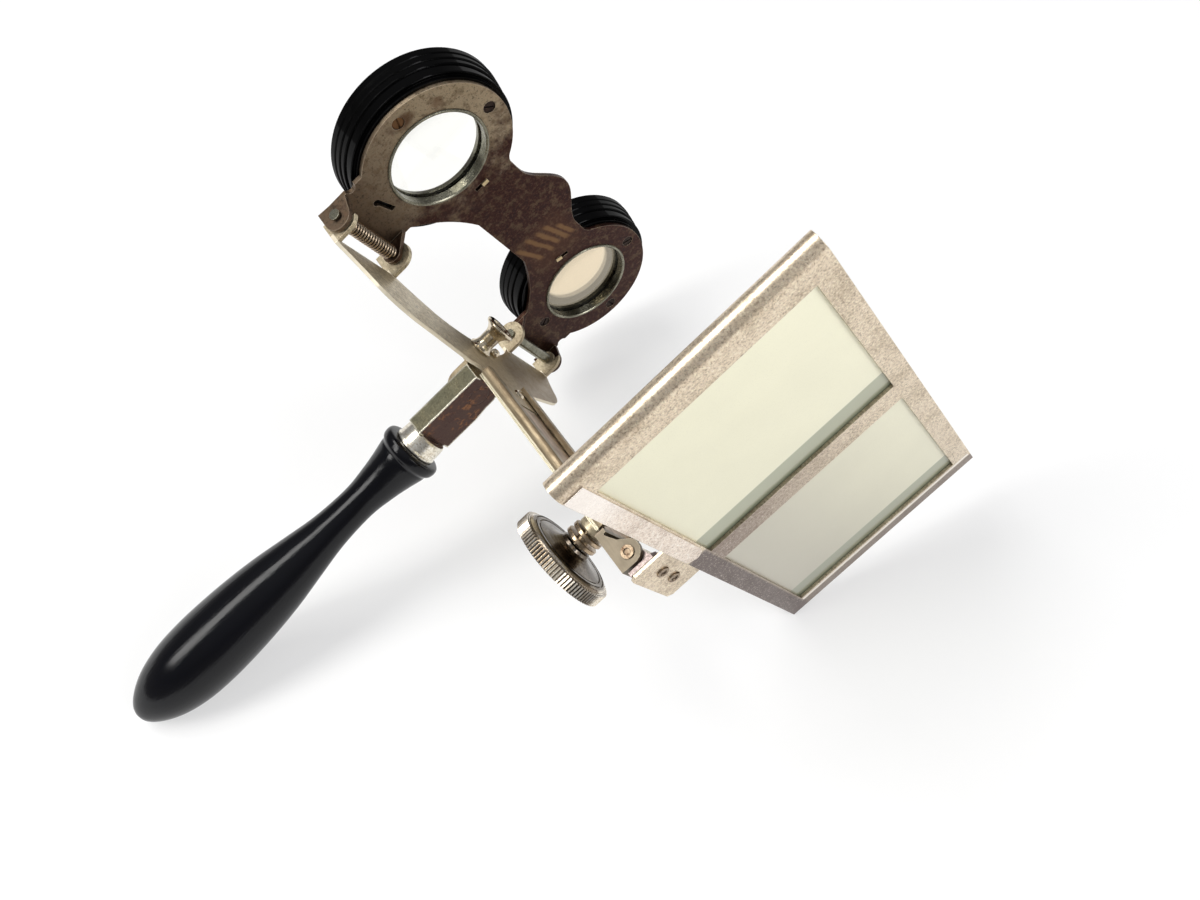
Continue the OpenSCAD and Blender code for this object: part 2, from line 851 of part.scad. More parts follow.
module carriage() {
    color(nickel)
        lay()
            difference() {
                union() {
                    translate([0, 0, strip_bot])
                        linear_extrude(strip_top - strip_bot) {
                            difference() {
                                union() {
                                    translate([-strip_half, strip_start])
                                        square([2 * strip_half, step_y + 1 - strip_start]);
                                    translate([-cheek_in - cheek_t, step_y])
                                        square([2 * (cheek_in + cheek_t), 1.0]);
                                }
                                translate([-3.6, slot_y0])
                                    square([3.6 + rack_back, slot_y1 - slot_y0]);
                            }
                            for (k = [0 : 13])
                                translate([0, pinion_y - tooth_pitch * (k - 1.5)])
                                    rack_tooth();
                        }
                    translate([-cheek_in - cheek_t, step_y, carriage_bot])
                        cube([2 * (cheek_in + cheek_t), 1.0, strip_top - carriage_bot]);
                    translate([-cheek_in - cheek_t, step_y, carriage_bot])
                        cube([2 * (cheek_in + cheek_t), carriage_end - step_y, 1.0]);
                    for (s = [0, 1])
                        mirror([s, 0, 0])
                            cheek_yz(cheek_in, cheek_t)
                                carriage_ear();
                }
                translate([-10, hinge_y, hinge_z])
                    rotate([0, 90, 0])
                        cylinder(r = hinge_r + 0.01, h = 20, $fn = 48);
            }
}

module pinion_tooth() {
    root = pitch_r - dedendum;
    polygon([[root - 0.3, -0.4], [root, -0.34], [pitch_r, -0.23], [pitch_r + addendum, -0.12],
        [pitch_r + addendum, 0.12], [pitch_r, 0.23], [root, 0.34], [root - 0.3, 0.4]]);
}

module pinion() {
    color(bright)
        lay()
            translate([0, pinion_y, 0]) {
                translate([0, 0, strip_bot + 0.05])
                    linear_extrude(pinion_top - strip_bot - 0.05) {
                        circle(r = pitch_r - dedendum, $fn = 48);
                        for (k = [0 : pinion_teeth - 1])
                            rotate(360 * k / pinion_teeth)
                                pinion_tooth();
                    }
                translate([0, 0, -35.0])
                    cylinder(r = shaft_r, h = 35.0 + strip_bot + 0.2, $fn = 48);
            }
}

module pinion_screw() {
    color(bright)
        lay()
            translate([0, pinion_y, pinion_top + 0.02])
                difference() {
                    rotate_extrude($fn = 32)
                        polygon([[0, 0], [1.6, 0], [1.75, 0.2], [1.7, 0.6], [1.2, 0.85], [0, 0.95]]);
                    translate([-2.5, -0.2, 0.55])
                        cube([5, 0.4, 1]);
                }
}

module shaft_bush() {
    color(nickel)
        lay()
            translate([0, pinion_y, 0])
                rotate_extrude($fn = 64)
                    polygon([[shaft_r + run_gap, -27.7], [2.9, -27.7], [3.1, -27.4], [3.1, rail_bot - 0.7],
                        [4.4, rail_bot - 0.5], [4.4, rail_bot - 0.02], [shaft_r + run_gap, rail_bot - 0.02]]);
}

module washer(z, r, t) {
    color(bright)
        lay()
            translate([0, pinion_y, z])
                rotate_extrude($fn = 64)
                    polygon([[shaft_r + 0.02, 0], [r - 0.12, 0], [r, 0.12], [r, t - 0.12],
                        [r - 0.12, t], [shaft_r + 0.02, t]]);
}
module washer_upper() { washer(-29.0, 3.5, 0.95); }
module washer_lower() { washer(-30.7, 3.6, 0.95); }

knob_r = 11.1;
knob_top = -30.9;
rim_top = -34.2;
rim_bot = -37.0;
knurls = 90;
knurl_depth = 0.3;
rim_core_r = knob_r - knurl_depth - 0.25;
// two fine rings turned into the dished face
ring_groove = 0.3;

module focus_knob() {
    color(nickel)
        lay()
            translate([0, pinion_y, 0]) {
                difference() {
                    union() {
                        rotate_extrude($fn = fine)
                            polygon(concat(
                                [[0, rim_bot + 0.9], [0, knob_top - 0.3], [2.4, knob_top - 0.3],
                                    [3.3, knob_top - 0.5]],
                                bend([3.3, knob_top - 0.7], [3.6, -32.8], [7.4, -33.3], 6),
                                [for (r = [8.0, 9.0]) each [[r, -33.4], [r, -33.4 - ring_groove],
                                    [r + 0.35, -33.4 - ring_groove], [r + 0.35, -33.4]]],
                                [[9.8, -33.6], [10.2, -33.95], [10.2, rim_top + 0.1],
                                    [rim_core_r, rim_top + 0.1],
                                    [rim_core_r, rim_bot + 0.9]]));
                        translate([0, 0, rim_bot + 0.2])
                            linear_extrude(rim_top - rim_bot - 0.2)
                                difference() {
                                    polygon([for (k = [0 : 2 * knurls - 1])
                                        let (r = knob_r - (k % 2) * knurl_depth, a = 180 * k / knurls)
                                        [r * cos(a), r * sin(a)]]);
                                    circle(r = 10, $fn = fine);
                                }
                        translate([0, 0, rim_bot])
                            rotate_extrude($fn = fine)
                                polygon([[5.5, 1.0], [8.9, 0.25], [9.4, 0], [10.2, 0],
                                    [rim_core_r, 0.15], [rim_core_r, 1.0]]);
                    }
                    translate([0, 0, -35.1])
                        cylinder(r = shaft_r + 0.02, h = 6, $fn = 48);
                    translate([0, 0, rim_bot - 1])
                        cylinder(r = 2.6, h = 1.95, $fn = 48);
                }
            }
}

module knob_screw() {
    color(bright)
        lay()
            translate([0, pinion_y, -36.9])
                difference() {
                    rotate_extrude($fn = 48)
                        polygon([[0, 0], [1.5, 0], [2.2, 0.35], [2.4, 0.8], [0, 0.8]]);
                    translate([-3, -0.22, -0.5])
                        cube([6, 0.44, 0.85]);
                }
}

// Slide frame

module window_pair(y0, t) {
    sheet_xz(y0, t) {
        translate([bar_half, window_bot])
            square([frame_x1 - margin_right - bar_half, window_h]);
        translate([margin_left - frame_x1, window_bot])
            square([frame_x1 - margin_left - bar_half, window_h]);
    }
}

// the sleeve seen from above: two sheets joined by a half-round roll at the right end
module sleeve_outline(inset) {
    translate([-frame_x1 - (inset > 0 ? 1 : 0), frame_front + inset])
        square([frame_x1 * 2 - roll_r + (inset > 0 ? 1 : 0), frame_t - 2 * inset]);
    translate([frame_x1 - roll_r, frame_front + roll_r])
        circle(r = roll_r - inset, $fn = 48);
}

tab_half = 8.8;
tab_bot = -25.2;
rivet_z = -20.7;
rivet_x = 2.65;

module slide_frame() {
    color(nickel)
        lay()
            difference() {
                union() {
                    translate([0, 0, frame_bot])
                        linear_extrude(frame_h)
                            sleeve_outline(0);
                    sheet_xz(frame_front + frame_sheet, frame_sheet)
                        polygon([[-tab_half, frame_bot + 1], [-tab_half, tab_bot + 1],
                            [-tab_half + 1, tab_bot], [tab_half - 1, tab_bot],
                            [tab_half, tab_bot + 1], [tab_half, frame_bot + 1]]);
                }
                translate([0, 0, frame_bot + frame_sheet])
                    linear_extrude(frame_h - 2 * frame_sheet)
                        sleeve_outline(frame_sheet);
                window_pair(frame_back + 1, frame_t + 2);
                for (x = [-rivet_x, rivet_x])
                    translate([x, frame_front - 1, rivet_z])
                        rotate([-90, 0, 0])
                            cylinder(r = 0.8, h = 4, $fn = 24);
            }
}

// bright lap of sheet along the lower margin of the right half
module frame_lap() {
    color(bright)
        lay()
            sheet_xz(lap_back, 0.25)
                polygon(concat(
                    [[54.4, frame_bot + 0.15], [54.4, window_bot - 0.35], [8.4, window_bot - 0.35]],
                    bend([8.4, window_bot - 0.35], [6.0, window_bot - 0.6], [5.9, window_bot - 2.4], 5),
                    [[6.6, frame_bot + 0.9], [7.6, frame_bot + 0.15]]));
}

module ground_glass() {
    color(frosted)
        lay()
            sheet_xz(frame_back - frame_sheet - 0.05, 1.2)
                translate([-frame_x1 + 0.6, frame_bot + frame_sheet + 0.15])
                    square([frame_w - 3.4, frame_h - 2 * frame_sheet - 0.3]);
}

bracket_in = 5.9;
bracket_t = 1.0;
bracket_r = 1.9;
web_front = frame_front - 0.05;

module slide_bracket() {
    color(nickel)
        lay()
            difference() {
                union() {
                    sheet_xz(web_front, 0.95)
                        polygon([[-tab_half, -19.2], [-tab_half, tab_bot + 0.5], [tab_half, tab_bot + 0.5],
                            [tab_half, -19.2], [tab_half - 1, -18.4], [1 - tab_half, -18.4]]);
                    for (s = [0, 1])
                        mirror([s, 0, 0])
                            cheek_yz(bracket_in, bracket_t)
                                difference() {
                                    union() {
                                        translate([hinge_y, hinge_z])
                                            circle(r = bracket_r, $fn = 48);
                                        polygon([[hinge_y, hinge_z - 1.3], [web_front - 0.4, hinge_z - 1.3],
                                            [web_front - 0.4, -19.4], [hinge_y, hinge_z + bracket_r]]);
                                    }
                                    translate([hinge_y, hinge_z])
                                        circle(r = hinge_r + run_gap, $fn = 48);
                                }
                }
                for (x = [-rivet_x, rivet_x])
                    translate([x, frame_front - 3, rivet_z])
                        rotate([-90, 0, 0])
                            cylinder(r = 0.8, h = 4, $fn = 24);
            }
}

module slide_rivets() {
    color(bright)
        lay()
            for (x = [-rivet_x, rivet_x])
                translate([x, 0, rivet_z])
                    rotate([-90, 0, 0]) {
                        translate([0, 0, web_front - 0.95 - 0.4])
                            cylinder(r = 1.3, h = 0.38, $fn = 24);
                        translate([0, 0, web_front - 1.1])
                            cylinder(r = 0.78, h = 1.9, $fn = 24);
                        translate([0, 0, frame_front + frame_sheet + 0.02])
                            difference() {
                                cylinder(r1 = 1.35, r2 = 1.25, h = 0.3, $fn = 24);
                                translate([0, 0, 0.12])
                                    cylinder(r = 0.75, h = 1, $fn = 24);
                            }
                    }
}

module slide_hinge_pin() {
    color(bright)
        lay()
            translate([0, hinge_y, hinge_z])
                difference() {
                    union() {
                        rod_x(-8.3, 8.3, hinge_r, 48);
                        for (s = [0, 1])
                            mirror([s, 0, 0])
                                rod_x(8.12, 8.45, 1.35);
                    }
                    for (s = [0, 1])
                        mirror([s, 0, 0])
                            rod_x(8.2, 9, 0.7);
                }
}

module slide_hinge_sleeve() {
    color(bright)
        lay()
            translate([0, hinge_y, hinge_z])
                difference() {
                    rod_x(-5.5, 5.5, 1.8, 48);
                    rod_x(-6, 6, hinge_r + 0.02, 48);
                }
}

lens_board();
board_screws();
eyecup_right();
eyecup_left();
lens_right();
lens_left();
lens_bezel_right();
lens_bezel_left();
lens_ring_right();
lens_ring_left();
lens_hinge_pin_right();
lens_hinge_pin_left();
hinge_spring();
hinge_sleeve();
base_plate();
rail();
rail_rivets();
stop_rivet();
catch_post();
catch_nut();
pivot_lug();
pivot_pin();
pivot_washer();
handle_shank();
handle_ferrule();
handle_grip();
carriage();
pinion();
pinion_screw();
shaft_bush();
washer_upper();
washer_lower();
focus_knob();
knob_screw();
slide_frame();
frame_lap();
ground_glass();
slide_bracket();
slide_rivets();
slide_hinge_pin();
slide_hinge_sleeve();
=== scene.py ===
"""Looks, light and camera for the folding stereoscope."""
import json
import math

import bmesh
import bpy
from mathutils import Euler, Matrix, Vector


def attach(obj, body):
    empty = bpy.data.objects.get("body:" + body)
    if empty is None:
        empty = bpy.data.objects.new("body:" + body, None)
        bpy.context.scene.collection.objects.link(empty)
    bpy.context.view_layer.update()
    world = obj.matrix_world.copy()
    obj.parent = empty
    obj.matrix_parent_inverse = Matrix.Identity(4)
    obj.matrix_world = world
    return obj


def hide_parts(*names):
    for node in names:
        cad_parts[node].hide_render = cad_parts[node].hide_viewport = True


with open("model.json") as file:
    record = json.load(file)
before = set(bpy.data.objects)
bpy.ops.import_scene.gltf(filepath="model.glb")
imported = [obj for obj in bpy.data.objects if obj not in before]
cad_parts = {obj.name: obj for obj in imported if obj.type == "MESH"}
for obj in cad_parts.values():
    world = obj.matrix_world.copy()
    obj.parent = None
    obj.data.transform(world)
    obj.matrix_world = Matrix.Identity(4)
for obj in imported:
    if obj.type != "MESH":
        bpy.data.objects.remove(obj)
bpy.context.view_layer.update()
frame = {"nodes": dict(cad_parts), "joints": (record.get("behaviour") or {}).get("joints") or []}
nodes = frame["nodes"]
MM = 0.001

# The viewer's own frame: X to the right, Y along the line of sight, Z up from the handle. Its zero
# is halfway between the lenses. The slide frame's hinge pin lies along its X at a known place.
HINGE_Y, HINGE_Z = 77.5, -22.5
hinge = next(j for j in frame["joints"] if j["name"] == "slide_frame_fold")
RIGHT = Vector(hinge["axis"])
AHEAD = Vector((0, 1, 0))
UP = RIGHT.cross(AHEAD)
ZERO = Vector(hinge["pos_m"]) - (AHEAD * HINGE_Y + UP * HINGE_Z) * MM
TURN = Matrix((RIGHT, AHEAD, UP)).transposed()


def direction(x, y, z):
    """A direction of the viewer's frame, as one of the scene."""
    return RIGHT * x + AHEAD * y + UP * z


def at(x, y, z):
    """A place in the viewer's frame, in mm, as a point of the scene."""
    return ZERO + direction(x, y, z) * MM


def extent(node):
    """The lowest and highest corner of a CAD node in the viewer's frame, in mm."""
    turn_back = TURN.transposed()
    places = [turn_back @ (v.co - ZERO) / MM for v in nodes[node].data.vertices]
    return Vector([min(c) for c in zip(*places)]), Vector([max(c) for c in zip(*places)])


def middle(node):
    """The middle of a CAD node in the viewer's frame, in mm."""
    low, high = extent(node)
    return (low + high) / 2


# Places in the viewer's frame, in mm, where pieces and wear lie. PAST is farther than any piece
# reaches, and stands for a side without a limit.
PAST = 200
LENS_X = middle("lens_ring_right").x
LENS_Y = middle("lens_right").y
SCREW_REACH = 13.7
PIN_Y, PIN_Z = middle("lens_hinge_pin_right").yz
PLATE_BOT = extent("base_plate")[0].z
RAIL_BOT, RAIL_TOP = (corner.z for corner in extent("rail"))
RAIL_END = extent("rail")[1].y
KNOB_Y = middle("focus_knob").y
SHANK_Y = middle("handle_shank").y
SHANK_HALF_T = 2.1
GRIP_TOP = extent("handle_grip")[1].z
FRAME_HALF = -extent("slide_frame")[0].x
FRAME_FRONT = extent("slide_frame")[0].y
FRAME_BACK, FRAME_TOP = extent("slide_frame")[1].yz
# the sheet's lower edge, below which only the hinge's tab reaches
FRAME_BOT = -15.5
WINDOW_MARGIN = 4.3
WINDOW_BOT = FRAME_BOT + WINDOW_MARGIN
LEFT_MARGIN = 5.2
MULLION_HALF = 3.3
LAP_END = extent("frame_lap")[0].x


# Shader building

# rays that a bevel or a crevice is found with
NODE_SAMPLES = 6


def linear(c):
    """An sRGB colour, 0 to 1, as the linear RGBA that sockets take."""
    return tuple(v / 12.92 if v <= 0.04045 else ((v + 0.055) / 1.055) ** 2.4 for v in c) + (1.0,)


def add_node(tree, kind, inputs=None, **settings):
    """A shader node with its settings made and each input linked or given its value."""
    node = tree.nodes.new(kind)
    for key, value in settings.items():
        setattr(node, key, value)
    for key, value in (inputs or {}).items():
        if isinstance(value, bpy.types.NodeSocket):
            tree.links.new(value, node.inputs[key])
        else:
            node.inputs[key].default_value = value
    return node


class Surface:
    """One material with a Principled shader, and short ways to add nodes to it."""

    def __init__(self, name, **sockets):
        self.material = bpy.data.materials.new(name)
        self.material.use_nodes = True
        self.tree = self.material.node_tree
        self.shader = self.tree.nodes["Principled BSDF"]
        self.output = self.tree.nodes["Material Output"]
        self._place = None
        for key, value in sockets.items():
            self.shader.inputs[key.replace("_", " ")].default_value = value

    def add(self, kind, inputs=None, **settings):
        return add_node(self.tree, kind, inputs, **settings)

    def place(self):
        """Where a point lies in the viewer's frame, in mm."""
        if self._place is None:
            coords = self.add("ShaderNodeTexCoord").outputs["Object"]
            self._place = self.add("ShaderNodeMapping", {
                "Vector": coords, "Location": ZERO, "Rotation": TURN.to_euler(),
                "Scale": (MM, MM, MM)}, vector_type="TEXTURE").outputs[0]
        return self._place

    def stretched(self, x, y, z, vector=None):
        return self.add("ShaderNodeMapping", {
            "Vector": vector or self.place(), "Scale": (x, y, z)}).outputs[0]

    def moved(self, x, y, z):
        """The same place counted from the point x, y, z."""
        return self.add("ShaderNodeMapping", {
            "Vector": self.place(), "Location": (-x, -y, -z)}).outputs[0]

    def axis(self, name, vector=None):
        return self.add("ShaderNodeSeparateXYZ", {
            0: vector or self.place()}).outputs["XYZ".index(name)]

    def length(self, vector):
        return self.add("ShaderNodeVectorMath", {0: vector}, operation="LENGTH").outputs["Value"]

    def dot(self, a, b):
        return self.add("ShaderNodeVectorMath", {0: a, 1: b},
            operation="DOT_PRODUCT").outputs["Value"]

    def noise(self, scale, detail, roughness, vector=None):
        """Noise from 0 to 1 whose features are about 1/scale mm."""
        return self.add("ShaderNodeTexNoise", {
            "Vector": vector or self.place(), "Scale": scale, "Detail": detail,
            "Roughness": roughness}).outputs["Fac"]

    def span(self, value, low, high, to_low=0.0, to_high=1.0, smooth=True):
        """The value taken from the range low to high over to the range to_low to to_high."""
        return self.add("ShaderNodeMapRange", {
            "Value": value, "From Min": low, "From Max": high, "To Min": to_low,
            "To Max": to_high}, interpolation_type="SMOOTHSTEP" if smooth else "LINEAR").outputs[0]

    def math(self, operation, a, b=0.0):
        return self.add("ShaderNodeMath", {0: a, 1: b}, operation=operation).outputs[0]

    def times(self, first, *others):
        """The product of the factors."""
        for factor in others:
            first = self.math("MULTIPLY", first, factor)
        return first

    def mix(self, factor, a, b):
        """Colour a where factor is 0, colour b where it is 1."""
        return self.add("ShaderNodeMix", {0: factor, 6: a, 7: b}, data_type="RGBA").outputs[2]

    def edges(self, radius, low=0.02, high=0.35):
        """1 along the edges of the piece, 0 on its faces."""
        bent = self.add("ShaderNodeBevel", {"Radius": radius * MM}, samples=NODE_SAMPLES).outputs[0]
        true = self.add("ShaderNodeNewGeometry").outputs["Normal"]
        return self.span(self.math("SUBTRACT", 1.0, self.dot(bent, true)), low, high)

    def crevices(self, distance):
        """1 in the corners and grooves of the piece, 0 on its open faces."""
        shade = self.add("ShaderNodeAmbientOcclusion", {"Distance": distance * MM},
            only_local=True, samples=NODE_SAMPLES).outputs["AO"]
        return self.math("SUBTRACT", 1.0, self.span(shade, 0.35, 0.95))

    def bump(self, height, depth, strength, rounding=0.0):
        """Bump of the given depth in mm, over edges rounded by the given radius in mm."""
        bumped = self.add("ShaderNodeBump", {
            "Height": height, "Distance": depth * MM, "Strength": strength})
        if rounding:
            soft = self.add("ShaderNodeBevel", {"Radius": rounding * MM}, samples=NODE_SAMPLES)
            self.tree.links.new(soft.outputs[0], bumped.inputs["Normal"])
        self.tree.links.new(bumped.outputs[0], self.shader.inputs["Normal"])

    def colour(self, socket):
        self.tree.links.new(socket, self.shader.inputs["Base Color"])

    def over(self, factor, colour, strength=1.0):
        """Lays a colour over the base colour made so far."""
        below = self.shader.inputs["Base Color"].links[0].from_socket
        self.colour(self.mix(self.times(factor, strength), below, linear(colour)))

    def roughness(self, value, low, high, smoother, rougher):
        """Roughness that goes from smoother to rougher as the value goes from low to high."""
        self.tree.links.new(self.span(value, low, high, smoother, rougher, smooth=False),
            self.shader.inputs["Roughness"])

    def within(self, soft, **limits):
        """1 between the limits given for X, Y or Z, in mm, and 0 past them, soft at the ends."""
        sides = []
        for name, (low, high) in limits.items():
            place = self.axis(name)
            sides.append(self.span(place, low - soft, low + soft))
            sides.append(self.span(place, high + soft, high - soft))
        return self.times(*sides)

    def facing(self, x, y, z):
        """How far a face of the piece turns towards a direction, from 0 to 1 whichever its side."""
        normal = self.add("ShaderNodeTexCoord").outputs["Normal"]
        return self.math("ABSOLUTE", self.dot(normal, direction(x, y, z)))

    def spot(self, x, y, z, size, reach=(1.0, 1.0, 1.0)):
        """1 at a place, fading unevenly to 0 at the given size in mm, along each axis by reach."""
        distance = self.length(self.stretched(*(1 / r for r in reach), self.moved(x, y, z)))
        ragged = self.times(self.noise(0.6, 4, 0.6), size * 0.9)
        return self.span(self.math("ADD", distance, ragged), size * 1.35, size * 0.75)


def wear(surface, *node_names):
    """Gives the CAD nodes named the material of the surface."""
    for name in node_names:
        for slot in nodes[name].material_slots:
            slot.material = surface.material


def metal(name, bright, dull, dark, roughness, blotch, edge, grain=3.0, metallic=1.0, corner_shade=0.6,
          rounding=0.15, pits=0.0, cloud=1.0, brushed=None):
    """Worn plated metal: bright colour clouded with the dull one, painted shade in corners, bare
    edges painted paler, partly as a highlight. Blotch and grain are the scales of the clouds and of
    the fine marks. Cloud, pits, the painted corner shade and edge say how strongly each shows.
    Brushed squeezes the fine marks along X, Y and Z."""
    s = Surface(name, Metallic=metallic)
    clouds = s.times(s.span(s.noise(blotch, 6, 0.68), 0.38, 0.66), cloud)
    fine = s.noise(grain, 4, 0.7, s.stretched(*brushed) if brushed else None)
    paler = tuple(min(1.0, v * 1.12 + 0.05) for v in bright)
    s.colour(s.mix(clouds, linear(bright), linear(dull)))
    s.over(s.span(fine, 0.50, 0.66), dark, 0.45)
    s.over(s.span(fine, 0.48, 0.36), paler, 0.5)
    if pits:
        s.over(s.span(s.noise(grain * 1.3, 2, 0.5, s.moved(7, 3, 5)), 0.66, 0.72), dark, pits)
    # painted shade in the piece's corners and grooves
    s.over(s.crevices(0.8), dark, corner_shade)
    # bare worn edges, painted paler, partly as a highlight along them
    s.over(s.edges(0.22), paler, edge)
    s.roughness(s.math("ADD", s.times(clouds, 0.5), s.times(fine, 0.5)), 0.15, 0.85, *roughness)
    s.bump(fine, 0.02, 0.4, rounding)
    return s


def polish_strokes(s):
    """Old polish left in short slanting strokes beside the left ring."""
    # the middle of each one, by X and Z, and half its length
    strokes = ((-9.3, -3.4, 4.2), (-9.3, -0.3, 4.6), (-9.5, 2.0, 4.0), (-10.0, 4.2, 4.4),
        (-11.3, 6.2, 3.0))
    slope, half_width = 0.27, 0.45
    slow, fast = 1.4, 0.4
    wander = s.math("ADD", s.times(s.noise(0.14, 1, 0.5), slow),
        s.times(s.noise(0.9, 2, 0.5), fast))
    for x, z, half_length in strokes:
        along = s.axis("X", s.moved(x, 0, 0))
        across = s.math("ADD", s.axis("Z", s.moved(0, 0, z + (slow + fast) / 2)),
            s.math("ADD", s.times(along, slope), wander))
        stroke = s.times(
            s.span(s.math("ABSOLUTE", across), half_width + 0.4, half_width - 0.2),
            s.span(s.math("ABSOLUTE", along), half_length + 0.6, half_length - 1.2))
        s.over(stroke, (0.54, 0.41, 0.27), 0.75)


def board_steel():
    """The lens board: tarnished steel, browner and darker towards the bridge and the left ring."""
    s = Surface("tarnished_steel", Metallic=0.85)
    leftward = s.span(s.axis("X"), 36, 4)
    downward = s.span(s.axis("Z"), 8, -14)
    clouds = s.noise(0.16, 6, 0.66)
    patches = s.noise(0.42, 6, 0.7, s.moved(20, 0, 8))
    speckle = s.noise(1.5, 5, 0.78)
    grain = s.noise(4.0, 4, 0.7)
    tone = s.mix(s.times(downward, 0.7), linear((0.64, 0.575, 0.48)), linear((0.40, 0.34, 0.28)))
    brown = s.span(s.math("ADD", clouds, s.times(leftward, 0.45)), 0.50, 0.80)
    s.colour(s.mix(brown, tone, linear((0.205, 0.09, 0.065))))
    s.over(s.within(3.5, Z=(-PAST, -14)), (0.25, 0.175, 0.13), 0.45)
    s.over(s.span(patches, 0.50, 0.60), (0.38, 0.31, 0.23), 0.5)
    s.over(s.times(leftward, s.span(patches, 0.47, 0.37)), (0.17, 0.085, 0.08), 0.8)
    s.over(s.span(speckle, 0.52, 0.60), (0.44, 0.33, 0.26), 0.34)
    s.over(s.span(speckle, 0.48, 0.38), (0.11, 0.07, 0.06), 0.60)
    polish_strokes(s)
    s.over(s.within(2.5, X=(-18, -4), Z=(-5, 8)), (0.36, 0.24, 0.16), 0.3)
    # rust: dark round four screws, brown between the right ring's two, orange at the outermost one
    for side, x, z in ((1, 0, 1), (-1, 0, 1), (-1, 0, -1), (-1, -1, 0)):
        s.over(s.spot(side * LENS_X + x * SCREW_REACH, 0, z * SCREW_REACH, 1.9),
            (0.10, 0.065, 0.055), 0.8)
    s.over(s.spot(42.0, 0, 7.6, 2.0), (0.33, 0.20, 0.11), 0.5)
    s.over(s.spot(LENS_X + SCREW_REACH - 0.6, 0, 1.0, 2.4, (1.0, 1.0, 1.5)),
        (0.31, 0.20, 0.12), 0.85)
    # painted shade in the board's corners and grooves
    s.over(s.crevices(1.0), (0.05, 0.035, 0.03), 0.7)
    # bare edges, painted paler, partly as a highlight
    s.over(s.edges(0.22), (0.80, 0.73, 0.64), 0.65)
    # the bright tongues of the lanced slots
    s.over(s.within(0.05, Y=(0.15, 0.7), Z=(-9, 9)), (0.84, 0.76, 0.60), 0.9)
    s.roughness(s.math("ADD", clouds, grain), 0.7, 1.4, 0.32, 0.54)
    s.bump(grain, 0.03, 0.45, 0.15)
    return s


def plate_nickel():
    """The base plate: bright along the right arm, browner in the middle and at the left lobe."""
    s = metal("dull_nickel", (0.76, 0.71, 0.60), (0.64, 0.58, 0.48), (0.26, 0.19, 0.14),
        roughness=(0.38, 0.56), blotch=0.3, grain=2.6, pits=0.7, edge=0.9, cloud=0.6,
        metallic=0.72, brushed=(0.5, 0.5, 1.0))
    # past the plate's end, and short of the shaft bush, which wears this too
    end = 40
    s.over(s.within(5.0, X=(-PAST, 10), Y=(5, end)), (0.64, 0.57, 0.46), 0.6)
    s.over(s.within(3.0, X=(-PAST, -9), Y=(5, end)), (0.50, 0.42, 0.33), 0.6)
    s.over(s.span(s.noise(1.4, 5, 0.8), 0.54, 0.64), (0.34, 0.26, 0.18), 0.5)
    s.over(s.span(s.noise(1.7, 5, 0.8, s.moved(5, 2, 9)), 0.55, 0.65), (0.86, 0.81, 0.70), 0.45)
    # rust beside the stop rivet, and a painted highlight along the cut edge of the sheet
    s.over(s.spot(-6.5, 12.5, -23.4, 2.2), (0.44, 0.25, 0.12), 0.8)
    painted_rim_highlight = s.math("SUBTRACT", 1.0, s.span(s.facing(0, 0, 1), 0.3, 0.6))
    sheet = s.within(0.1, Y=(3.4, end), Z=(PLATE_BOT - 0.2, PLATE_BOT + 0.8))
    s.over(s.times(painted_rim_highlight, sheet), (0.95, 0.91, 0.82), 0.85)
    return s


def rail_nickel():
    """The rail: gold-toned sides brushed along their length, with painted shade on the inner faces
    at the top of its walls and a painted highlight along its lower edge.
    """
    s = metal("golden_nickel", (0.60, 0.54, 0.44), (0.50, 0.44, 0.35), (0.25, 0.20, 0.14),
        roughness=(0.34, 0.50), blotch=0.2, grain=2.4, edge=0.6, corner_shade=0.9, metallic=0.8,
        brushed=(1.0, 0.05, 1.0))
    # painted shade on the lips' inner faces at the top of the walls
    s.over(s.within(0.3, Z=(RAIL_TOP - 0.7, RAIL_TOP - 0.05)), (0.40, 0.33, 0.25), 0.5)
    # painted highlight along the lower edge
    s.over(s.within(0.1, Z=(RAIL_BOT - 0.1, RAIL_BOT + 0.65)), (0.93, 0.90, 0.80), 0.7)
    return s


def carriage_nickel():
    """The carriage: brushed along its strip, greyer behind the rail, with pale edges, partly a
    painted highlight.
    """
    s = metal("carriage_nickel", (0.68, 0.60, 0.52), (0.58, 0.50, 0.43), (0.28, 0.22, 0.17),
        roughness=(0.32, 0.48), blotch=0.2, grain=2.4, edge=0.9, corner_shade=0.9, pits=0.3,
        metallic=0.75, brushed=(0.5, 0.12, 1.0))
    s.over(s.within(0.5, Y=(RAIL_END + 0.5, PAST)), (0.42, 0.39, 0.33), 0.9)
    # pale edges: bare metal, painted brighter also as a highlight
    s.over(s.edges(0.3), (0.80, 0.75, 0.66), 0.8)
    return s


